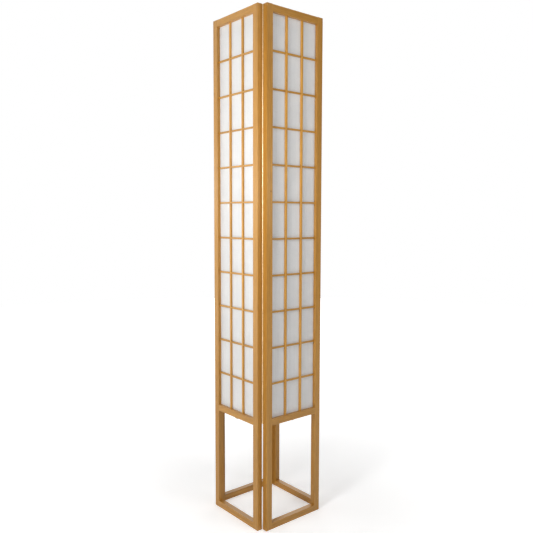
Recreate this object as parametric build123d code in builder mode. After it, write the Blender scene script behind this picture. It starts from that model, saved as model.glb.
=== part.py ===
from build123d import *
import math
import os

# Andon floor lamp: four shoji panels hinged into a square column that folds
# flat.  Millimetres, +Z up, origin on the floor at the middle of the square.
# The front panel faces -Y and the left panel faces -X.

# ---------------------------------------------------------------- panel frame
lamp_height = 1829.0        # 6 ft column
panel_width = 261.0
panel_thickness = 20.0
stile_width = 25.4
top_rail_height = 24.5
top_rail_drop = 0.6         # the stile ends stand this much above the top rail
shade_rail_height = 23.0
shade_rail_z = 380.0        # underside of the rail that closes the shade
foot_rail_height = 23.0
stile_arris = 1.2           # bevel down the outer corner of each stile

tenon_length = 17.0
tenon_thickness = 7.0
tenon_front = 4.0           # wood left in front of the tenon
tenon_shoulder = 4.0        # above and below each tenon
mortise_clearance = 0.1

# -------------------------------------------------------------- paper and grid
pane_columns = 3
pane_rows = 11
upright_width = 7.3
upright_depth = 7.0
bar_height = 6.0
bar_depth = 6.0
paper_depth = 12.5          # from the outer face to the front of the paper
paper_thickness = 0.5
rebate_width = 5.0          # step round the back of the opening
rebate_clearance = 0.3      # round the paper and the stops
stub_length = 3.0           # ends of the grid let into the frame
lap_clearance = 0.05

# ----------------------------------------------------------- continuous hinges
hinge_axis_depth = 2.4      # hinge axis behind the panel's inner face
hinge_side_gap = 0.15       # hinge axis beyond the panel's end
hinge_low_z = 387.0
hinge_high_z = 1828.5
hinge_leaf_thickness = 1.0
hinge_leaf_width = 13.0     # from the hinge axis along the panel
hinge_leaf_notch = 2.5      # leaf's edge beside the other leaf's knuckles
hinge_knuckle_radius = 2.25
hinge_knuckle_gap = 0.2     # between one knuckle and the next
hinge_pin_radius = 1.25
hinge_pin_clearance = 0.06

# ------------------------------------------------------- folding brace, fitting
bracket_width = 15.0
bracket_thickness = 2.0
bracket_setback = 3.5       # from the panel's outer face
bracket_nose = 7.0          # plate beyond the stud
bracket_clip = 4.0          # clipped corners of the nose
stud_radius = 2.5
stud_head_flats = 8.0       # six-sided stud head
stud_head_height = 2.0
pivot_clearance = 0.08
brace_width = 14.0
brace_end = 7.0             # bar beyond the stud
brace_clip = 4.0            # clipped corners of the bar's ends
brace_thickness = 2.0

stem_radius = 5.0
stem_bore_radius = 3.5
stem_drop = 28.0            # below the shade rail
stem_rise = 520.0           # lamp holder above the shade rail's underside
stem_grip = 10.0            # stem end inside the holder
thread_clearance = 0.05
nut_flats = 14.0
nut_height = 3.5
nut_gap = 0.15

holder_radius = 16.0
holder_neck_radius = 9.0
holder_neck_height = 12.0
holder_height = 52.0
holder_cavity_depth = 29.0

bulb_radius = 15.0          # tubular bulb
bulb_cap_radius = 13.1
bulb_cap_height = 31.0
bulb_cap_clearance = 0.3
bulb_length = 130.0
bulb_crown = 5.0            # bevel round the glass end

# --------------------------------------------------------------- derived sizes
axis_spacing = panel_width + 2 * hinge_side_gap
axis_half = axis_spacing / 2
outer_half = axis_half + hinge_axis_depth + panel_thickness

opening_width = panel_width - 2 * stile_width
opening_low = shade_rail_z + shade_rail_height
opening_high = lamp_height - top_rail_drop - top_rail_height
opening_height = opening_high - opening_low
opening_middle = (opening_low + opening_high) / 2

pane_width = (opening_width - (pane_columns - 1) * upright_width) / pane_columns
pane_height = (opening_height - (pane_rows - 1) * bar_height) / pane_rows
upright_pitch = pane_width + upright_width
bar_pitch = pane_height + bar_height
upright_front = paper_depth - upright_depth
bar_front = paper_depth - bar_depth
lap_depth = bar_depth / 2

rebate_depth = panel_thickness - paper_depth
stop_depth = rebate_depth - paper_thickness
stop_width = rebate_width - rebate_clearance

brace_top_z = shade_rail_z - bracket_thickness
lower_brace_top_z = brace_top_z - brace_thickness
brace_bottom_z = lower_brace_top_z - brace_thickness
stem_bottom_z = shade_rail_z - stem_drop
holder_z = shade_rail_z + stem_rise
bulb_seat_z = holder_z + holder_height - holder_cavity_depth

PANELS = {"front": 0, "right": 90, "back": 180, "left": 270}
STILES = {
    "front": ("front_left_stile", "front_right_stile"),
    "right": ("right_front_stile", "right_back_stile"),
    "back": ("back_right_stile", "back_left_stile"),
    "left": ("left_back_stile", "left_front_stile"),
}


# --------------------------------------------------------------------- planes
def along(turn):
    """Direction along a panel, to the right as seen from outside."""
    return Vector(1, 0, 0).rotate(Axis.Z, turn)


def outward(turn):
    """Direction out of a panel's face."""
    return Vector(0, -1, 0).rotate(Axis.Z, turn)


def face_plane(turn, depth=0.0):
    """Upright plane this deep behind a panel's outer face: x along, y up."""
    return Plane(
        origin=outward(turn) * (outer_half - depth),
        x_dir=along(turn),
        z_dir=outward(turn),
    )


def deck_plane(turn, height):
    """Level plane at this height: x along the panel, y towards the inside."""
    return Plane(origin=(0, 0, height), x_dir=along(turn), z_dir=(0, 0, 1))


def hinge_plane(turn, end, height):
    """Level plane on a hinge axis: x towards the panel's middle, end * y outward."""
    corner = along(turn) * (end * axis_half) + outward(turn) * axis_half
    return Plane(
        origin=corner + Vector(0, 0, height),
        x_dir=along(turn) * -end,
        z_dir=(0, 0, 1),
    )


def upright_centres():
    """Places along the panel of the grid's uprights."""
    first = -opening_width / 2 + pane_width + upright_width / 2
    return [first + i * upright_pitch for i in range(pane_columns - 1)]


def bar_centres():
    """Heights of the grid's level bars."""
    first = opening_low + pane_height + bar_height / 2
    return [first + i * bar_pitch for i in range(pane_rows - 1)]


# ----------------------------------------------------------------- wood frame
def rail_tenon(height):
    """Height of the tenon on a rail of this height."""
    return height - 2 * tenon_shoulder


def build_stile(name, turn, end):
    """Upright of a panel, with mortises, bar sockets and a stopped rebate."""
    centre = end * (panel_width - stile_width) / 2
    edge = end * opening_width / 2
    rails = (
        (foot_rail_height / 2, foot_rail_height),
        (shade_rail_z + shade_rail_height / 2, shade_rail_height),
        (opening_high + top_rail_height / 2, top_rail_height),
    )
    with BuildPart() as stile:
        with BuildSketch(face_plane(turn)):
            with Locations((centre, lamp_height / 2)):
                Rectangle(stile_width, lamp_height)
        extrude(amount=-panel_thickness)
        upright_edges = stile.edges().filter_by(Axis.Z)
        end_edges = upright_edges.group_by(Axis((0, 0, 0), along(turn) * end))[-1]
        outer_edge = end_edges.sort_by(Axis((0, 0, 0), outward(turn)))[-1]
        chamfer(outer_edge, length=stile_arris)

        with BuildSketch(face_plane(turn, panel_thickness)):
            with Locations((edge + end * rebate_width / 2, opening_middle)):
                Rectangle(rebate_width, opening_height + 2 * rebate_width)
        extrude(amount=rebate_depth, mode=Mode.SUBTRACT)

        with BuildSketch(face_plane(turn, tenon_front - mortise_clearance)):
            for z, height in rails:
                with Locations((edge + end * (tenon_length + mortise_clearance) / 2, z)):
                    Rectangle(
                        tenon_length + mortise_clearance,
                        rail_tenon(height) + 2 * mortise_clearance,
                    )
        extrude(amount=-(tenon_thickness + 2 * mortise_clearance), mode=Mode.SUBTRACT)

        with BuildSketch(face_plane(turn, bar_front)):
            for z in bar_centres():
                with Locations((edge + end * stub_length / 2, z)):
                    Rectangle(stub_length, bar_height)
        extrude(amount=-bar_depth, mode=Mode.SUBTRACT)
    stile.part.label = name
    return stile.part


def build_rail(name, turn, low, height, rebate_side=0):
    """Cross rail with a tenon at each end; rebate_side is +1 above, -1 below."""
    middle = low + height / 2
    opening_edge = middle + rebate_side * height / 2
    with BuildPart() as rail:
        with BuildSketch(face_plane(turn)):
            with Locations((0, middle)):
                Rectangle(opening_width, height)
        extrude(amount=-panel_thickness)
        with BuildSketch(face_plane(turn, tenon_front)):
            with Locations((0, middle)):
                Rectangle(opening_width + 2 * tenon_length, rail_tenon(height))
        extrude(amount=-tenon_thickness)
        if rebate_side:
            with BuildSketch(face_plane(turn, panel_thickness)):
                with Locations((0, opening_edge - rebate_side * rebate_width / 2)):
                    Rectangle(opening_width, rebate_width)
            extrude(amount=rebate_depth, mode=Mode.SUBTRACT)
            with BuildSketch(face_plane(turn, upright_front)):
                for x in upright_centres():
                    with Locations((x, opening_edge - rebate_side * stub_length / 2)):
                        Rectangle(upright_width, stub_length)
            extrude(amount=-upright_depth, mode=Mode.SUBTRACT)
    rail.part.label = name
    return rail.part


# ------------------------------------------------------------- grid and paper
def build_uprights(name, turn):
    """Grid uprights, halved at the back where the level bars cross."""
    with BuildPart() as uprights:
        with BuildSketch(face_plane(turn, upright_front)):
            for x in upright_centres():
                with Locations((x, opening_middle)):
                    Rectangle(upright_width, opening_height + 2 * stub_length)
        extrude(amount=-upright_depth)
        with BuildSketch(face_plane(turn, paper_depth)):
            for z in bar_centres():
                with Locations((0, z)):
                    Rectangle(opening_width, bar_height + 2 * lap_clearance)
        extrude(amount=lap_depth + lap_clearance, mode=Mode.SUBTRACT)
    uprights.part.label = name
    return uprights.part


def build_bars(name, turn):
    """Level grid bars, halved at the front where the uprights cross."""
    with BuildPart() as bars:
        with BuildSketch(face_plane(turn, bar_front)):
            for z in bar_centres():
                with Locations((0, z)):
                    Rectangle(opening_width + 2 * stub_length, bar_height)
        extrude(amount=-bar_depth)
        with BuildSketch(face_plane(turn, bar_front)):
            for x in upright_centres():
                with Locations((x, opening_middle)):
                    Rectangle(upright_width + 2 * lap_clearance, opening_height)
        extrude(amount=-(bar_depth - lap_depth), mode=Mode.SUBTRACT)
    bars.part.label = name
    return bars.part


def build_paper(name, turn):
    """Sheet of shoji paper, laid in the rebate against the grid's back."""
    margin = 2 * (rebate_width - rebate_clearance)
    with BuildPart() as paper:
        with BuildSketch(face_plane(turn, paper_depth)):
            with Locations((0, opening_middle)):
                Rectangle(opening_width + margin, opening_height + margin)
        extrude(amount=-paper_thickness)
    paper.part.label = name
    return paper.part


def build_stops(name, turn):
    """Four stop strips that fill the rebate and hold the paper down."""
    side = (opening_width + stop_width) / 2
    rise = (opening_height + stop_width) / 2
    with BuildPart() as stops:
        with BuildSketch(face_plane(turn, panel_thickness)):
            with Locations((-side, opening_middle), (side, opening_middle)):
                Rectangle(stop_width, opening_height + 2 * stop_width)
            with Locations((0, opening_middle - rise), (0, opening_middle + rise)):
                Rectangle(opening_width - 2 * lap_clearance, stop_width)
        extrude(amount=stop_depth)
    stops.part.label = name
    return stops.part


# ----------------------------------------------------------- continuous hinges
def knuckle_spans():
    """Lower end and length of the hinge barrel's three runs of knuckles."""
    length = (hinge_high_z - hinge_low_z - 2 * hinge_knuckle_gap) / 3
    return [(hinge_low_z + i * (length + hinge_knuckle_gap), length) for i in range(3)]


def build_hinge_leaves(name, turn):
    """Hinge leaves on the inner face of a panel, one down each end of the shade.

    The right leaf has the outer knuckles and the pin between them.  The left
    leaf has the middle knuckles, which turn on the next panel's pin.
    """
    low_run, middle_run, high_run = knuckle_spans()
    with BuildPart() as leaves:
        for end, runs in ((-1, (middle_run,)), (1, (low_run, high_run))):
            leaf_y = end * (hinge_axis_depth - hinge_leaf_thickness / 2)
            blade = hinge_leaf_width - hinge_leaf_notch
            with BuildSketch(hinge_plane(turn, end, hinge_low_z)):
                with Locations((hinge_leaf_notch + blade / 2, leaf_y)):
                    Rectangle(blade, hinge_leaf_thickness)
            extrude(amount=hinge_high_z - hinge_low_z)
            for low, length in runs:
                with BuildSketch(hinge_plane(turn, end, low)):
                    with Locations((hinge_leaf_notch / 2, leaf_y)):
                        Rectangle(hinge_leaf_notch, hinge_leaf_thickness)
                    Circle(hinge_knuckle_radius)
                    if end < 0:
                        Circle(hinge_pin_radius + hinge_pin_clearance, mode=Mode.SUBTRACT)
                extrude(amount=length)
        pin_low, pin_length = middle_run
        with BuildSketch(hinge_plane(turn, 1, pin_low - hinge_knuckle_gap)):
            Circle(hinge_pin_radius)
        extrude(amount=pin_length + 2 * hinge_knuckle_gap)
    leaves.part.label = name
    return leaves.part


# -------------------------------------------------------------- folding brace
def build_bracket(name, turn, thickness):
    """Plate under the shade rail with a headed stud on the hinge-axis plane."""
    outer_y = -(outer_half - bracket_setback)
    inner_y = bracket_nose - axis_half
    low = shade_rail_z - thickness
    with BuildPart() as bracket:
        with BuildSketch(deck_plane(turn, low)):
            with Locations((0, (outer_y + inner_y) / 2)):
                Rectangle(bracket_width, inner_y - outer_y)
        extrude(amount=thickness)
        inner_edges = bracket.edges().filter_by(Axis.Z).group_by(Axis((0, 0, 0), outward(turn)))[0]
        chamfer(inner_edges, length=bracket_clip)
        with BuildSketch(deck_plane(turn, low)):
            with Locations((0, -axis_half)):
                Circle(stud_radius)
        extrude(amount=-brace_thickness)
        with BuildSketch(deck_plane(turn, low - brace_thickness)):
            with Locations((0, -axis_half)):
                RegularPolygon(stud_head_flats / 2, 6, major_radius=False)
        extrude(amount=-stud_head_height)
    bracket.part.label = name
    return bracket.part


def build_brace(name, turn, top_z, hub_bore):
    """Flat bar between two opposite brackets, with the stem through its middle."""
    with BuildPart() as brace:
        with BuildSketch(deck_plane(turn, top_z)):
            outline = Rectangle(brace_width, axis_spacing + 2 * brace_end)
            chamfer(outline.vertices(), length=brace_clip)
            with Locations((0, -axis_half), (0, axis_half)):
                Circle(stud_radius + pivot_clearance, mode=Mode.SUBTRACT)
            Circle(hub_bore, mode=Mode.SUBTRACT)
        extrude(amount=-brace_thickness)
    brace.part.label = name
    return brace.part


# --------------------------------------------------------------- lamp fitting
def build_stem():
    """Threaded lamp pipe that carries the holder and takes the lead."""
    with BuildPart() as stem:
        with BuildSketch(Plane.XY.offset(stem_bottom_z)):
            Circle(stem_radius)
            Circle(stem_bore_radius, mode=Mode.SUBTRACT)
        extrude(amount=holder_z + stem_grip - stem_bottom_z)
    stem.part.label = "lamp_stem"
    return stem.part


def build_nuts():
    """Lock nuts above and below the crossing of the two braces."""
    with BuildPart() as nuts:
        for z in (brace_bottom_z - nut_height, brace_top_z + nut_gap):
            with BuildSketch(Plane.XY.offset(z)):
                RegularPolygon(nut_flats / 2, 6, major_radius=False)
                Circle(stem_radius + thread_clearance, mode=Mode.SUBTRACT)
            extrude(amount=nut_height)
    nuts.part.label = "lock_nuts"
    return nuts.part


def build_holder():
    """Lamp holder: necked shell with a round well for the bulb's cap."""
    top = holder_z + holder_height
    shoulder_z = holder_z + holder_neck_height
    well_radius = bulb_cap_radius + bulb_cap_clearance
    with BuildPart() as holder:
        with BuildSketch(Plane.XZ):
            with BuildLine():
                Polyline(
                    (0, bulb_seat_z),
                    (0, holder_z + stem_grip),
                    (stem_radius + thread_clearance, holder_z + stem_grip),
                    (stem_radius + thread_clearance, holder_z),
                    (holder_neck_radius, holder_z),
                    (holder_neck_radius, shoulder_z),
                    (holder_radius, shoulder_z),
                    (holder_radius, top),
                    (well_radius, top),
                    (well_radius, bulb_seat_z),
                    (0, bulb_seat_z),
                )
            make_face()
        revolve(axis=Axis.Z)
    holder.part.label = "lamp_holder"
    return holder.part


def build_bulb():
    """Tubular bulb with its screw cap standing in the holder's well."""
    with BuildPart() as bulb:
        with BuildSketch(Plane.XY.offset(bulb_seat_z)):
            Circle(bulb_cap_radius)
        extrude(amount=bulb_cap_height)
        with BuildSketch(Plane.XY.offset(bulb_seat_z + bulb_cap_height)):
            Circle(bulb_radius)
        extrude(amount=bulb_length - bulb_cap_height)
        chamfer(bulb.edges().group_by(Axis.Z)[-1], length=bulb_crown)
    bulb.part.label = "bulb"
    return bulb.part


# ------------------------------------------------------------------- assembly
def build_panel(panel):
    """All the pieces fixed to one panel."""
    turn = PANELS[panel]
    left_name, right_name = STILES[panel]
    crossing = panel in ("left", "right")
    plate = bracket_thickness + (brace_thickness if crossing else 0)
    return [
        build_stile(left_name, turn, -1),
        build_stile(right_name, turn, 1),
        build_rail(f"{panel}_top_rail", turn, opening_high, top_rail_height, -1),
        build_rail(f"{panel}_shade_rail", turn, shade_rail_z, shade_rail_height, 1),
        build_rail(f"{panel}_foot_rail", turn, 0, foot_rail_height),
        build_uprights(f"{panel}_grid_uprights", turn),
        build_bars(f"{panel}_grid_bars", turn),
        build_paper(f"{panel}_paper", turn),
        build_stops(f"{panel}_paper_stops", turn),
        build_hinge_leaves(f"{panel}_hinge_leaves", turn),
        build_bracket(f"{panel}_brace_bracket", turn, plate),
    ]


def build_fitting():
    """The folding cross brace and the lamp fitting that it carries."""
    return [
        build_brace(
            "front_back_brace", PANELS["front"], brace_top_z, stem_radius + pivot_clearance
        ),
        build_brace(
            "left_right_brace", PANELS["left"], lower_brace_top_z, stem_radius + thread_clearance
        ),
        build_stem(),
        build_nuts(),
        build_holder(),
        build_bulb(),
    ]


os.makedirs("parts", exist_ok=True)
pieces = build_fitting()
for panel_name in PANELS:
    pieces += build_panel(panel_name)
for piece in pieces:
    export_step(piece, f"parts/{piece.label}.step")
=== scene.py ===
import math

import bmesh
import bpy
from mathutils import Matrix, Vector


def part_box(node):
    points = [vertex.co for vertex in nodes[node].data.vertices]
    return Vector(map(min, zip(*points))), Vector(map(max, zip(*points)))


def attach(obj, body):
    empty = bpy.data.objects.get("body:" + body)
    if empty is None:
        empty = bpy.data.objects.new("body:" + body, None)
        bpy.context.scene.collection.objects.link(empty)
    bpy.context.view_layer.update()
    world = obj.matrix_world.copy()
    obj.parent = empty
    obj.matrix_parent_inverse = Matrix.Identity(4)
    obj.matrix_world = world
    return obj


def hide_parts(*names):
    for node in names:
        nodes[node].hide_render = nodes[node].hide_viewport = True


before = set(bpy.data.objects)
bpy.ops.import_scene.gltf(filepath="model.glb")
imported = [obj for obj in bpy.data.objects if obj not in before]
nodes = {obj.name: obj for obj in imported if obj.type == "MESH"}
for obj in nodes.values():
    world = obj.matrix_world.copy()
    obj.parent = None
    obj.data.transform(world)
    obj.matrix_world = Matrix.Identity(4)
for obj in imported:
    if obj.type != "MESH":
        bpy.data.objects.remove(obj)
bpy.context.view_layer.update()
scene = bpy.context.scene

# ------------------------------------------------------------ named values
# Lengths are in metres, turns in degrees, and colours are linear red, green and blue.
PANELS = ("front", "right", "back", "left")
STILES = {
    "front": ("front_left_stile", "front_right_stile"),
    "right": ("right_front_stile", "right_back_stile"),
    "back": ("back_right_stile", "back_left_stile"),
    "left": ("left_back_stile", "left_front_stile"),
}
LEVEL_GRAIN = {"front": "X", "back": "X", "left": "Y", "right": "Y"}
# turn that brings each panel from the front one's place
PANEL_TURN = {"front": 0.0, "right": 90.0, "back": 180.0, "left": 270.0}
RAILS = ("top_rail", "shade_rail", "foot_rail")
EASED_PARTS = RAILS + ("grid_bars", "grid_uprights")
EASED_WIDTH = 0.0004

# the camera that was fitted to the photo's edges
PHOTO_PX = 533.0
CAMERA_PLACE = (-1.4530, -1.7484, 1.1179)
CAMERA_YAW = 39.628
CAMERA_PITCH = 4.407
CAMERA_ROLL = 0.079
FOCAL_PX = 604.82
CENTRE_ROW_PX = 263.08
SENSOR_MM = 36.0

# turns the grain's own direction onto Z
GRAIN_TURN = {"X": (0, 90, 0), "Y": (90, 0, 0), "Z": (0, 0, 0)}
RINGS_PER_METRE = 300.0
EARLY_WOOD = (0.570, 0.280, 0.049)
LATE_WOOD = (0.365, 0.160, 0.022)
FIBRE_COLOUR = (0.310, 0.132, 0.018, 1)
PORE_COLOUR = (0.170, 0.066, 0.011, 1)
KNOT_COLOUR = (0.075, 0.026, 0.007, 1)
# (place, radius) of the pin knots; the first is the one that the photo shows
KNOTS = (((-0.112, -0.153, 1.204), 0.0026), ((0.119, 0.147, 0.71), 0.003))
# a knot reaches far through the stile, and is a little longer along the grain
KNOT_SQUASH = (1.0, 0.15, 0.8)
PLAIN_TONE = (1.0, 1.0, 1.0)
# painted light: the grid's uprights are painted lighter, standing for the light that falls on
# their sides
GRID_PAINTED_LIGHT = (1.28, 1.30, 1.15)
# painted shade: the grid's bars are painted a more saturated brown, with less blue, standing for
# the shade on their faces
BAR_PAINTED_SHADE = (1.08, 1.10, 0.85)

KNUCKLE_PITCH = 0.0127
STEM_THREAD_PITCH = 0.0012
LEAF_THICKNESS = 0.001
# leaf screws: from the panel's middle, from the leaf's ends, and how many in a row
LEAF_SCREW_X = 0.1235
LEAF_SCREW_MARGIN = 0.035
LEAF_SCREW_COUNT = 14
# how far a bracket's stud reaches below its plate
BRACKET_STUD = 0.004
# between the holder's rim and the glass
GLASS_CLEARANCE = 0.0005

FLOOR_RADIUS = 6.0
AMBIENT = 0.12
FLOOR_GLOW = 0.31
OVERHEAD = 0.5
# name, place, aim, (width, height), watts
SOFTBOXES = (
    ("far_left_panel", (-1.25, 1.45, 1.28), (0, 0, 1.2), (0.9, 0.35), 1.7),
    ("far_left_strip", (-1.25, 1.45, 1.5), (0, 0, 1.4), (0.9, 2.6), 9.0),
    ("near_left_panel", (-0.9, -0.42, 1.36), (-0.12, -0.14, 1.3), (0.25, 0.4), 4.7),
    ("near_left_strip", (-1.9, -0.5, 1.45), (0, 0, 1.3), (0.5, 1.7), 11.7),
    ("low_left_box", (-1.9, -0.3, 0.28), (0, 0, 0.24), (0.8, 0.4), 5.0),
    ("near_right_panel", (0.80, -1.85, 1.29), (0, 0, 1.2), (0.35, 0.22), 3.7),
    ("near_right_box", (0.2, -2.6, 2.0), (0, 0, 1.3), (1.5, 1.5), 11.0),
    ("near_right_top", (0.5, -2.0, 2.7), (0, 0, 1.6), (1.0, 0.6), 6.0),
    ("back_box", (1.9, 1.7, 1.6), (0, 0, 1.2), (1.6, 1.8), 15.0),
)


# ------------------------------------------------------------------ camera
def add_camera():
    """The photo's own camera: it looks along the yaw, a little down, and hardly rolls."""
    yaw = math.radians(CAMERA_YAW)
    pitch = math.radians(CAMERA_PITCH)
    roll = math.radians(CAMERA_ROLL)
    forward = Vector((
        math.sin(yaw) * math.cos(pitch),
        math.cos(yaw) * math.cos(pitch),
        -math.sin(pitch),
    ))
    right = Vector((math.cos(yaw), -math.sin(yaw), 0.0))
    up = right.cross(forward)
    rolled_right = math.cos(roll) * right + math.sin(roll) * up
    rolled_up = -math.sin(roll) * right + math.cos(roll) * up
    data = bpy.data.cameras.new("camera")
    data.sensor_width = SENSOR_MM
    data.sensor_fit = "HORIZONTAL"
    data.lens = FOCAL_PX / PHOTO_PX * SENSOR_MM
    data.shift_y = (CENTRE_ROW_PX - PHOTO_PX / 2) / PHOTO_PX
    data.clip_start = 0.05
    data.clip_end = 60.0
    camera = bpy.data.objects.new("camera", data)
    turn = Matrix((rolled_right, rolled_up, -forward)).transposed().to_4x4()
    camera.matrix_world = Matrix.Translation(CAMERA_PLACE) @ turn
    scene.collection.objects.link(camera)
    scene.camera = camera


# --------------------------------------------------------------- materials
class Graph:
    """A material and short ways of adding its nodes."""

    def __init__(self, name):
        self.mat = bpy.data.materials.new(name)
        self.mat.use_nodes = True
        self.tree = self.mat.node_tree
        self.tree.nodes.clear()
        self.coords = self.add("ShaderNodeTexCoord").outputs["Object"]

    def add(self, kind, **settings):
        node = self.tree.nodes.new(kind)
        for key, value in settings.items():
            setattr(node, key, value)
        return node

    def put(self, socket, value):
        if isinstance(value, bpy.types.NodeSocket):
            self.tree.links.new(value, socket)
        else:
            socket.default_value = value

    def math(self, operation, *values):
        node = self.add("ShaderNodeMath", operation=operation)
        for socket, value in zip(node.inputs, values):
            self.put(socket, value)
        return node.outputs[0]

    def length(self, x, y):
        """How far the point (x, y) is from the middle."""
        squares = self.math("ADD", self.math("MULTIPLY", x, x), self.math("MULTIPLY", y, y))
        return self.math("SQRT", squares)

    def mapped(self, vector, scale=(1, 1, 1), rotation=(0, 0, 0), location=(0, 0, 0)):
        node = self.add("ShaderNodeMapping")
        self.put(node.inputs["Vector"], vector)
        node.inputs["Scale"].default_value = scale
        node.inputs["Rotation"].default_value = [math.radians(v) for v in rotation]
        node.inputs["Location"].default_value = location
        return node.outputs[0]

    def noise(self, vector, scale=1.0, detail=2.0, rough=0.5, distortion=0.0):
        node = self.add("ShaderNodeTexNoise")
        self.put(node.inputs["Vector"], vector)
        node.inputs["Scale"].default_value = scale
        node.inputs["Detail"].default_value = detail
        node.inputs["Roughness"].default_value = rough
        node.inputs["Distortion"].default_value = distortion
        return node.outputs[0]

    def span(self, value, low, high, to_low=0.0, to_high=1.0):
        """Takes low..high to to_low..to_high, and holds the ends."""
        node = self.add("ShaderNodeMapRange")
        for socket, item in zip(node.inputs, (value, low, high, to_low, to_high)):
            self.put(socket, item)
        return node.outputs[0]

    def hairs(self, pattern, width, depth):
        """Thin lines where a noise pattern crosses its middle value."""
        off_middle = self.math("ABSOLUTE", self.math("MULTIPLY_ADD", pattern, 2.0, -1.0))
        return self.span(off_middle, 0.0, width, depth, 0.0)

    def mix(self, factor, a, b, blend="MIX"):
        node = self.add("ShaderNodeMix", data_type="RGBA", blend_type=blend)
        self.put(node.inputs[0], factor)
        self.put(node.inputs[6], a)
        self.put(node.inputs[7], b)
        return node.outputs[2]

    def bump(self, height, distance):
        node = self.add("ShaderNodeBump")
        node.inputs["Strength"].default_value = 1.0
        node.inputs["Distance"].default_value = distance
        self.put(node.inputs["Height"], height)
        return node.outputs[0]

    def split(self, vector):
        node = self.add("ShaderNodeSeparateXYZ")
        self.put(node.inputs[0], vector)
        return node.outputs

    def join(self, x, y, z):
        node = self.add("ShaderNodeCombineXYZ")
        for socket, value in zip(node.inputs, (x, y, z)):
            self.put(socket, value)
        return node.outputs[0]

    def principled(self, **values):
        node = self.add("ShaderNodeBsdfPrincipled")
        for key, value in values.items():
            self.put(node.inputs[key.replace("_", " ")], value)
        return node.outputs[0]

    def lit_through(self, front, share, **values):
        """Lets a share of the light through a front shader, in the colour given."""
        back = self.add("ShaderNodeBsdfTranslucent")
        for key, value in values.items():
            self.put(back.inputs[key], value)
        mixed = self.add("ShaderNodeMixShader")
        mixed.inputs[0].default_value = share
        self.put(mixed.inputs[1], front)
        self.put(mixed.inputs[2], back.outputs[0])
        return mixed.outputs[0]

    def finish(self, shader):
        out = self.add("ShaderNodeOutputMaterial")
        self.tree.links.new(shader, out.inputs["Surface"])
        return self.mat


def toned(colour, tone):
    return (*[v * k for v, k in zip(colour, tone)], 1)


def knotted(g, colour, dark, fibre, knots):
    """Adds pin knots to a wood's colour, each a dark eye in a softer ring."""
    for middle, size in knots:
        apart = g.add("ShaderNodeVectorMath", operation="DISTANCE")
        g.put(apart.inputs[0], g.mapped(g.coords, scale=KNOT_SQUASH))
        apart.inputs[1].default_value = [v * k for v, k in zip(middle, KNOT_SQUASH)]
        near = g.math("ADD", apart.outputs["Value"], g.span(fibre, 0.3, 0.7, -0.0006, 0.0006))
        ring = g.span(near, 0.9 * size, 2.6 * size, 0.35, 0.0)
        eye = g.span(near, 0.35 * size, 1.1 * size, 0.85, 0.0)
        colour = g.mix(eye, g.mix(ring, colour, dark), KNOT_COLOUR)
    return colour


def wood(name, grain, pith, tone=PLAIN_TONE, knots=()):
    """Honey-coloured, close-ringed softwood under a thin satin lacquer."""
    g = Graph(name)
    along = g.mapped(g.coords, rotation=GRAIN_TURN[grain])
    wander = g.noise(g.mapped(along, scale=(7, 7, 0.9)), detail=2.5)
    leaning = g.mapped(along, rotation=(0.7, -0.5, 0), location=(*pith, 0))
    x, y, _ = g.split(leaning)
    waver = g.math("MULTIPLY", wander, 9.0)
    ring = g.math("FRACT", g.math("MULTIPLY_ADD", g.length(x, y), RINGS_PER_METRE, waver))
    late = g.span(g.math("POWER", ring, 2.6), 0.0, 1.0)
    fade = g.span(ring, 0.0, 0.12, 1.0, 0.0)
    late = g.math("MAXIMUM", late, g.math("MULTIPLY", fade, 0.8))
    fibre = g.noise(g.mapped(along, scale=(900, 900, 11)), detail=3.0, rough=0.62)
    streak = g.noise(g.mapped(along, scale=(105, 105, 1.3)), detail=3.0, rough=0.65)
    figure = g.noise(g.mapped(along, scale=(170, 170, 26)), detail=2.5, rough=0.6)
    pores = g.span(g.noise(g.mapped(along, scale=(1700, 1700, 45)), detail=1.0), 0.66, 0.76)
    patch = g.noise(g.mapped(along, scale=(9, 9, 1.1)), detail=1.0)

    # a tone other than PLAIN_TONE paints light (grid uprights) and shade (grid bars) into the
    # wood's colour
    dark = toned(LATE_WOOD, tone)
    colour = g.mix(g.math("MULTIPLY", late, 0.75), toned(EARLY_WOOD, tone), dark)
    colour = g.mix(g.span(streak, 0.38, 0.66, 0.0, 0.62), colour, dark)
    colour = g.mix(g.span(figure, 0.44, 0.66, 0.0, 0.5), colour, dark)
    colour = g.mix(g.span(fibre, 0.3, 0.75, 0.0, 0.34), colour, FIBRE_COLOUR)
    colour = g.mix(g.math("MULTIPLY", pores, 0.5), colour, PORE_COLOUR)
    colour = knotted(g, colour, dark, fibre, knots)
    shade = g.span(patch, 0.25, 0.75, 0.93, 1.07)
    colour = g.mix(1.0, colour, g.join(shade, shade, shade), blend="MULTIPLY")

    rough = g.span(fibre, 0.2, 0.8, 0.28, 0.38)
    height = g.math("ADD", g.math("MULTIPLY", fibre, 0.6), g.math("MULTIPLY", late, 0.25))
    height = g.math("SUBTRACT", height, g.math("MULTIPLY", pores, 0.5))
    return g.finish(g.principled(
        Base_Color=colour, Roughness=rough, IOR=1.5, Specular_IOR_Level=0.95,
        Specular_Tint=(1.0, 0.87, 0.62, 1.0), Normal=g.bump(height, 0.00006),
    ))


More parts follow.
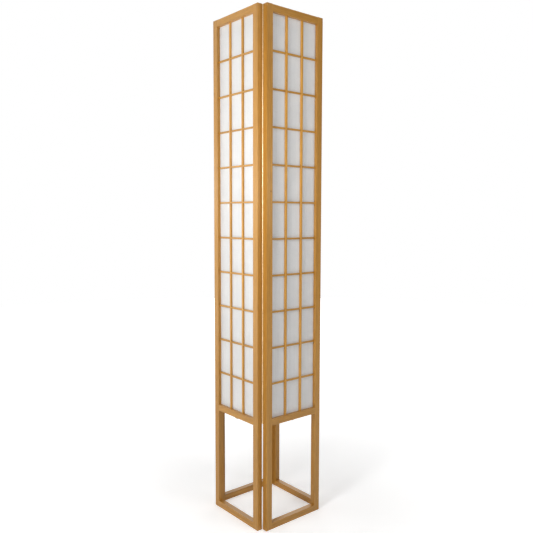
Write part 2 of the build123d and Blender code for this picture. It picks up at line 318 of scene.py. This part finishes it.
def washi(name):
    """Thin mulberry paper: long curled fibres, faint clouds, drawn faintly upright."""
    g = Graph(name)
    x, y, z = g.split(g.coords)
    flat = g.join(g.math("ADD", x, y), z, 0.0)
    cloud = g.noise(flat, scale=16.0, detail=3.0)
    curled = g.noise(g.mapped(flat, scale=(48, 38, 1)), detail=2.0, distortion=1.4)
    leaning = g.mapped(flat, scale=(170, 120, 1), rotation=(0, 0, 35))
    short = g.noise(leaning, detail=1.0, distortion=0.8)
    fibres = g.math("MAXIMUM", g.hairs(curled, 0.045, 1.0), g.hairs(short, 0.06, 0.6))
    drawn = g.noise(g.mapped(flat, scale=(330, 4, 1)), detail=2.0)
    grain = g.noise(flat, scale=1500.0, detail=2.0)

    tint = g.span(cloud, 0.3, 0.7, 0.905, 0.935)
    tint = g.math("ADD", tint, g.span(drawn, 0.3, 0.7, -0.026, 0.026))
    tint = g.math("ADD", tint, g.span(grain, 0.3, 0.7, -0.008, 0.008))
    tint = g.math("MULTIPLY_ADD", fibres, 0.03, tint)
    through = g.math("MULTIPLY_ADD", fibres, -0.16, tint)

    height = g.math("ADD", g.math("MULTIPLY", fibres, 0.5), g.math("MULTIPLY", grain, 0.5))
    normal = g.bump(height, 0.00005)
    front = g.principled(
        Base_Color=g.join(tint, tint, tint), Roughness=0.78, Specular_IOR_Level=0.25,
        Normal=normal,
    )
    return g.finish(g.lit_through(
        front, 0.42, Normal=normal,
        Color=g.join(through, through, g.math("MULTIPLY", through, 0.99)),
    ))


def brass(name, knuckles=False):
    """Rolled brass with drawn lines and a light tarnish; knuckles add the hinge's joints."""
    g = Graph(name)
    drawn = g.noise(g.mapped(g.coords, scale=(1800, 1800, 25)), detail=2.0)
    tarnish = g.noise(g.coords, scale=55.0, detail=4.0, rough=0.6)
    colour = g.mix(g.span(tarnish, 0.4, 0.75), (0.93, 0.78, 0.52, 1), (0.78, 0.58, 0.31, 1))
    colour = g.mix(g.span(drawn, 0.3, 0.7, 0.0, 0.25), colour, (0.86, 0.67, 0.40, 1))
    rough = g.span(tarnish, 0.3, 0.8, 0.40, 0.56)
    height = g.math("MULTIPLY", drawn, 0.2)
    if knuckles:
        z = g.split(g.coords)[2]
        half_pitch = KNUCKLE_PITCH / 2
        from_joint = g.math("PINGPONG", g.math("ADD", z, half_pitch), half_pitch)
        knuckle = g.span(from_joint, 0.0, 0.00022)
        colour = g.mix(knuckle, (0.20, 0.12, 0.04, 1), colour)
        height = g.math("ADD", height, knuckle)
    return g.finish(g.principled(
        Base_Color=colour, Metallic=1.0, Roughness=rough, Normal=g.bump(height, 0.00025),
    ))


def plated(name, tone, thread=False):
    """Plated metal in the tone's colour, with soft spangle and fine scratches; a thread gets
    painted shade in its roots.
    """
    g = Graph(name)
    spangle = g.add("ShaderNodeTexVoronoi", feature="SMOOTH_F1")
    spangle.inputs["Scale"].default_value = 420.0
    g.put(spangle.inputs["Vector"], g.coords)
    scratch = g.noise(g.mapped(g.coords, scale=(300, 2600, 300), rotation=(0, 0, 20)), detail=2.0)
    dull = g.noise(g.coords, scale=70.0, detail=3.0)
    pale = (*tone, 1)
    dark = (*[v * 0.66 for v in tone], 1)
    colour = g.mix(g.span(dull, 0.35, 0.75), pale, dark)
    colour = g.mix(g.span(spangle.outputs["Distance"], 0.2, 0.9, 0.0, 0.2), colour, dark)
    rough = g.span(dull, 0.3, 0.8, 0.28, 0.46)
    height = g.math("MULTIPLY", scratch, 0.12)
    distance = 0.0001
    if thread:
        x, y, z = g.split(g.coords)
        turn = g.math("DIVIDE", g.math("ARCTAN2", y, x), 2 * math.pi)
        phase = g.math("SUBTRACT", g.math("DIVIDE", z, STEM_THREAD_PITCH), turn)
        ridge = g.math("PINGPONG", g.math("MULTIPLY", phase, 2.0), 1.0)
        # painted shade: the thread's roots are painted darker than its crests
        colour = g.mix(g.span(ridge, 0.0, 0.5), dark, colour)
        height = g.math("ADD", height, ridge)
        distance = 0.00045
    return g.finish(g.principled(
        Base_Color=colour, Metallic=1.0, Roughness=rough, Normal=g.bump(height, distance),
    ))


def moulded(name):
    """Dark brown phenolic moulding with a faint mottle."""
    g = Graph(name)
    mottle = g.noise(g.coords, scale=180.0, detail=3.0)
    grain = g.noise(g.coords, scale=1400.0, detail=2.0)
    colour = g.mix(g.span(mottle, 0.35, 0.7), (0.022, 0.015, 0.012, 1), (0.040, 0.025, 0.018, 1))
    rough = g.span(mottle, 0.3, 0.7, 0.24, 0.36)
    return g.finish(g.principled(
        Base_Color=colour, Roughness=rough, IOR=1.55, Normal=g.bump(grain, 0.00003),
    ))


def opal_glass(name):
    """Softly frosted white glass, a little darker at the bulb's foot than above it."""
    g = Graph(name)
    z = g.split(g.coords)[2]
    cloud = g.noise(g.coords, scale=60.0, detail=2.0)
    up_the_foot = g.span(z, 0.954, 0.985, 0.72, 0.86)
    tint = g.math("ADD", up_the_foot, g.span(cloud, 0.3, 0.7, -0.015, 0.015))
    colour = g.join(tint, tint, g.math("MULTIPLY", tint, 0.985))
    front = g.principled(
        Base_Color=colour, Roughness=0.22, IOR=1.5, Coat_Weight=0.3, Coat_Roughness=0.05,
        Normal=g.bump(cloud, 0.00005),
    )
    return g.finish(g.lit_through(front, 0.35, Color=colour))


def pale_floor(name):
    """Plain near-white floor with a weak glow that grows outwards, stronger to the camera."""
    g = Graph(name)
    cloud = g.noise(g.coords, scale=1.3, detail=4.0)
    tint = g.span(cloud, 0.3, 0.7, 0.90, 0.93)
    grain = g.noise(g.coords, scale=300.0, detail=2.0)
    x, y, _ = g.split(g.coords)
    glow = g.span(g.length(x, y), 0.4, 3.0, FLOOR_GLOW, 3.4 * FLOOR_GLOW)
    seen = g.add("ShaderNodeLightPath").outputs["Is Camera Ray"]
    glow = g.math("MULTIPLY", glow, g.math("MULTIPLY_ADD", seen, 0.7, 0.4))
    return g.finish(g.principled(
        Base_Color=g.join(tint, tint, tint), Roughness=0.75, Specular_IOR_Level=0.2,
        Normal=g.bump(grain, 0.0001), Emission_Color=(1, 1, 1, 1), Emission_Strength=glow,
    ))


# --------------------------------------------------------------- CAD nodes
def give(name, material):
    for place in nodes[name].material_slots:
        place.material = material


def dress_nodes():
    """Gives each CAD node its material."""
    for panel in PANELS:
        for name in STILES[panel]:
            give(name, woods["Z"])
        for part in RAILS:
            give("%s_%s" % (panel, part), woods[LEVEL_GRAIN[panel]])
        give(panel + "_grid_bars", woods[LEVEL_GRAIN[panel] + "_bar"])
        give(panel + "_grid_uprights", woods["grid"])
        give(panel + "_paper_stops", woods["Z"])
        give(panel + "_paper", paper)
        give(panel + "_hinge_leaves", hinge_brass)
        give(panel + "_brace_bracket", zinc)
    give("front_back_brace", zinc)
    give("left_right_brace", zinc)
    give("lamp_stem", thread_zinc)
    give("lock_nuts", zinc)
    give("lamp_holder", bakelite)


def ease_edges():
    """Eases the sharp edges of rails and grids, with modifiers only."""
    for panel in PANELS:
        for part in EASED_PARTS:
            node = nodes["%s_%s" % (panel, part)]
            weld = node.modifiers.new("weld", "WELD")
            weld.merge_threshold = 0.000002
            bevel = node.modifiers.new("ease", "BEVEL")
            bevel.limit_method = "ANGLE"
            bevel.angle_limit = math.radians(40)
            bevel.width = EASED_WIDTH
            bevel.segments = 2
            bevel.harden_normals = False
            bevel.use_clamp_overlap = True


# ------------------------------------------------------------------ pieces
def add_piece(name, bm, body, material, smooth=False):
    """Makes a piece of a closed mesh, which rides a body and belongs to a material slot."""
    bmesh.ops.recalc_face_normals(bm, faces=bm.faces[:])
    mesh = bpy.data.meshes.new(name)
    bm.to_mesh(mesh)
    bm.free()
    for face in mesh.polygons:
        face.use_smooth = smooth
    mesh.materials.append(material)
    piece = bpy.data.objects.new(name, mesh)
    scene.collection.objects.link(piece)
    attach(piece, body)
    return piece


def bridge(bm, low, high):
    """Faces between two rings of points; a ring of one point is a closed tip."""
    around = max(len(low), len(high))
    for i in range(around):
        j = (i + 1) % around
        if len(low) == 1:
            bm.faces.new((low[0], high[j], high[i]))
        elif len(high) == 1:
            bm.faces.new((low[i], low[j], high[0]))
        else:
            bm.faces.new((low[i], low[j], high[j], high[i]))


def lathe(bm, profile, segments=48):
    """Turns (radius, height) points round the lamp's axis; a radius of 0 closes the end."""
    rings = []
    for radius, height in profile:
        steps = range(segments) if radius > 0.0 else range(1)
        angles = [2 * math.pi * i / segments for i in steps]
        rings.append([
            bm.verts.new((radius * math.cos(a), radius * math.sin(a), height)) for a in angles
        ])
    for low, high in zip(rings, rings[1:]):
        bridge(bm, low, high)


def screw_head(bm, place, radius, height, segments, cross=True):
    """A domed head with a cross or a slot, its base on place's XY plane, facing its +Z."""
    def ring(r, z):
        angles = [2 * math.pi * (i + 0.5) / segments for i in range(segments)]
        return [
            bm.verts.new(place @ Vector((r * math.cos(a), r * math.sin(a), z))) for a in angles
        ]
    sunk = 0.0001
    rings = [
        ring(radius, -sunk),
        ring(radius, 0.45 * height),
        ring(0.86 * radius, 0.85 * height),
        ring(0.60 * radius, height),
    ]
    for low, high in zip(rings, rings[1:]):
        bridge(bm, low, high)
    bm.faces.new(rings[0])
    # the recess: a cross or a single slot, cut into the crown
    arm = 0.44 * radius
    slot_end = 0.58 * radius
    half = 0.10 * radius
    if cross:
        outline = [
            (arm, -half), (arm, half), (half, half), (half, arm), (-half, arm), (-half, half),
            (-arm, half), (-arm, -half), (-half, -half), (-half, -arm), (half, -arm),
            (half, -half),
        ]
    else:
        outline = [(slot_end, -half), (slot_end, half), (-slot_end, half), (-slot_end, -half)]
    rim = [bm.verts.new(place @ Vector((x, y, height))) for x, y in outline]
    floor = [bm.verts.new(place @ Vector((x * 0.8, y * 0.8, 0.35 * height))) for x, y in outline]
    for i in range(len(rim)):
        j = (i + 1) % len(rim)
        bm.faces.new((rim[j], rim[i], floor[i], floor[j]))
    bm.faces.new(floor)
    # the crown between its outer ring and the recess
    edges = []
    for loop in (rings[-1], rim):
        for i in range(len(loop)):
            pair = (loop[i], loop[(i + 1) % len(loop)])
            edges.append(bm.edges.get(pair) or bm.edges.new(pair))
    bmesh.ops.triangle_fill(bm, edges=edges, use_beauty=True, use_dissolve=False)


def hinge_screws():
    """Two rows of small countersunk screws down each panel's two hinge leaves."""
    leaf_low, leaf_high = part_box("front_hinge_leaves")
    face_y = leaf_low.y + LEAF_THICKNESS
    lowest = leaf_low.z + LEAF_SCREW_MARGIN
    highest = leaf_high.z - LEAF_SCREW_MARGIN
    facing_in = Matrix.Rotation(math.radians(-90), 4, "X")
    for panel in PANELS:
        turn = Matrix.Rotation(math.radians(PANEL_TURN[panel]), 4, "Z")
        bm = bmesh.new()
        for side in (-1, 1):
            for i in range(LEAF_SCREW_COUNT):
                z = lowest + (highest - lowest) * i / (LEAF_SCREW_COUNT - 1)
                # each screw stops at its own angle
                driven = Matrix.Rotation(math.radians(37 * i + 20 * side), 4, "Z")
                seat = Matrix.Translation((side * LEAF_SCREW_X, face_y, z))
                place = turn @ seat @ facing_in @ driven
                screw_head(bm, place, radius=0.0024, height=0.00035, segments=14)
        add_piece(panel + "_hinge_screws", bm, panel + "_panel", screw_brass)


def bracket_screws():
    """One pan-head screw up through the middle of each brace bracket's plate."""
    rail_low, rail_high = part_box("front_shade_rail")
    rail_middle_y = (rail_low.y + rail_high.y) / 2
    facing_down = Matrix.Rotation(math.pi, 4, "X")
    driven = Matrix.Rotation(math.radians(25), 4, "Z")
    for panel in PANELS:
        turn = Matrix.Rotation(math.radians(PANEL_TURN[panel]), 4, "Z")
        plate_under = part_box(panel + "_brace_bracket")[0].z + BRACKET_STUD
        seat = Matrix.Translation((0.0, rail_middle_y, plate_under))
        bm = bmesh.new()
        place = turn @ seat @ facing_down @ driven
        screw_head(bm, place, radius=0.0039, height=0.0026, segments=24, cross=False)
        add_piece(panel + "_bracket_screw", bm, panel + "_panel", zinc)


def bulb_envelope(foot_z):
    """The frosted tube: a narrow foot, a straight side and a domed end."""
    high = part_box("bulb")[1]
    radius, top = high.x, high.z
    # radius and height above the foot
    foot = ((0.0, 0.0), (0.0112, 0.0), (0.0120, 0.0020), (0.0136, 0.0050), (0.0146, 0.0090))
    side_low = 0.0135
    side_step = 0.01
    dome_rise = 0.86 * radius
    profile = [(r, foot_z + rise) for r, rise in foot]
    profile += [(radius, foot_z + side_low + side_step * k) for k in range(8)]
    for k in range(1, 12):
        a = math.radians(90 * k / 12)
        profile.append((radius * math.cos(a), top - dome_rise * (1.0 - math.sin(a))))
    profile.append((0.0, top))
    bm = bmesh.new()
    lathe(bm, profile)
    return add_piece("bulb_envelope", bm, "left_right_brace", frosted, smooth=True)


def bulb_cap(foot_z):
    """The screw cap, with a rolled round thread that fades out at both ends."""
    rows = 64
    around = 48
    pitch = 0.00363
    root = 0.0122
    depth = 0.0008
    fade_low = 0.003
    fade_high = 0.004
    contact_height = 0.0015
    lap_in_glass = 0.0005
    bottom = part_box("bulb")[0].z + contact_height
    top = foot_z + lap_in_glass
    bm = bmesh.new()
    rings = []
    for i in range(rows + 1):
        z = bottom + (top - bottom) * i / rows
        fade = max(0.0, min(1.0, (z - bottom) / fade_low, (top - z) / fade_high))
        ring = []
        for j in range(around):
            a = 2 * math.pi * j / around
            swell = 0.5 + 0.5 * math.cos(2 * math.pi * z / pitch - a)
            radius = root + depth * swell * fade
            ring.append(bm.verts.new((radius * math.cos(a), radius * math.sin(a), z)))
        rings.append(ring)
    for low, high in zip(rings, rings[1:]):
        bridge(bm, low, high)
    bm.faces.new(rings[0][::-1])
    bm.faces.new(rings[-1])
    return add_piece("bulb_cap", bm, "left_right_brace", cap_metal, smooth=True)


def add_bulb():
    """A tubular bulb of two pieces, in place of the CAD one."""
    foot_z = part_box("lamp_holder")[1].z + GLASS_CLEARANCE
    for piece in (bulb_envelope(foot_z), bulb_cap(foot_z)):
        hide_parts("bulb")


def holder_ribs():
    """Raised grip ribs round the moulded holder, each closed and sunk a little into it."""
    holder_low, holder_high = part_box("lamp_holder")
    below_ribs = 0.0165
    above_ribs = 0.0045
    sunk = 0.00015
    low = holder_low.z + below_ribs
    high = holder_high.z - above_ribs
    root = holder_high.x - sunk
    count = 36
    half = 0.0007
    rise = 0.0006
    end_rise = 0.0001
    end = 0.0012
    rows = ((low, end_rise), (low + end, rise), (high - end, rise), (high, end_rise))
    bm = bmesh.new()
    for i in range(count):
        turn = Matrix.Rotation(2 * math.pi * i / count, 4, "Z")
        rings = []
        for z, out in rows:
            section = ((0.0, -half), (out, -0.4 * half), (out, 0.4 * half), (0.0, half))
            rings.append([bm.verts.new(turn @ Vector((root + x, y, z))) for x, y in section])
        for below, above in zip(rings, rings[1:]):
            bridge(bm, below, above)
        bm.faces.new(rings[0][::-1])
        bm.faces.new(rings[-1])
    add_piece(
        "holder_grip_ribs", bm, "left_right_brace", bakelite, smooth=True,
    )


# ------------------------------------------------------------------ studio
def studio_floor():
    bm = bmesh.new()
    bmesh.ops.create_circle(bm, cap_ends=True, segments=96, radius=FLOOR_RADIUS)
    mesh = bpy.data.meshes.new("studio_floor")
    bm.to_mesh(mesh)
    bm.free()
    mesh.materials.append(pale_floor("studio_floor"))
    ground = bpy.data.objects.new("studio_floor", mesh)
    scene.collection.objects.link(ground)


def studio_world():
    """White to the camera, and a faint even light to the lamp."""
    world = bpy.data.worlds.new("studio")
    scene.world = world
    world.use_nodes = True
    tree = world.node_tree
    tree.nodes.clear()
    shades = []
    for strength in (AMBIENT, 1.0):
        shade = tree.nodes.new("ShaderNodeBackground")
        shade.inputs["Color"].default_value = (1, 1, 1, 1)
        shade.inputs["Strength"].default_value = strength
        shades.append(shade)
    path = tree.nodes.new("ShaderNodeLightPath")
    mixed = tree.nodes.new("ShaderNodeMixShader")
    out = tree.nodes.new("ShaderNodeOutputWorld")
    tree.links.new(path.outputs["Is Camera Ray"], mixed.inputs[0])
    tree.links.new(shades[0].outputs[0], mixed.inputs[1])
    tree.links.new(shades[1].outputs[0], mixed.inputs[2])
    tree.links.new(mixed.outputs[0], out.inputs["Surface"])


def studio_lights():
    sky = bpy.data.lights.new("overhead", "SUN")
    sky.energy = OVERHEAD
    sky.angle = math.radians(60)
    scene.collection.objects.link(bpy.data.objects.new("overhead", sky))
    for name, place, aim, size, watts in SOFTBOXES:
        data = bpy.data.lights.new(name, "AREA")
        data.shape = "RECTANGLE"
        data.size, data.size_y = size
        data.energy = watts
        box = bpy.data.objects.new(name, data)
        direction = Vector(aim) - Vector(place)
        turn = direction.to_track_quat("-Z", "Y").to_matrix().to_4x4()
        box.matrix_world = Matrix.Translation(place) @ turn
        box.visible_camera = False
        scene.collection.objects.link(box)


# ------------------------------------------------------------------- scene
woods = {
    "X": wood("wood_level_x", "X", pith=(0.02, 0.05)),
    "Y": wood("wood_level_y", "Y", pith=(-0.03, 0.04)),
    "Z": wood("wood_upright", "Z", pith=(0.012, -0.031), knots=KNOTS),
    # the grid's uprights carry painted light: a lighter copy of the wood
    "grid": wood("wood_grid_upright", "Z", pith=(0.05, 0.02), tone=GRID_PAINTED_LIGHT),
    # the grid's bars carry painted shade: a deeper brown copy of the wood
    "X_bar": wood("wood_grid_bar_x", "X", pith=(-0.04, 0.03), tone=BAR_PAINTED_SHADE),
    "Y_bar": wood("wood_grid_bar_y", "Y", pith=(0.04, 0.06), tone=BAR_PAINTED_SHADE),
}
paper = washi("washi_paper")
hinge_brass = brass("hinge_brass", knuckles=True)
screw_brass = brass("screw_brass")
zinc = plated("yellow_zinc_plate", tone=(0.80, 0.60, 0.31))
thread_zinc = plated("threaded_zinc", tone=(0.62, 0.63, 0.64), thread=True)
cap_metal = plated("cap_metal", tone=(0.72, 0.70, 0.66))
bakelite = moulded("phenolic_moulding")
frosted = opal_glass("frosted_glass")

add_camera()
dress_nodes()
ease_edges()
hinge_screws()
bracket_screws()
add_bulb()
holder_ribs()
studio_floor()
studio_world()
studio_lights()
scene.view_settings.view_transform = "Standard"
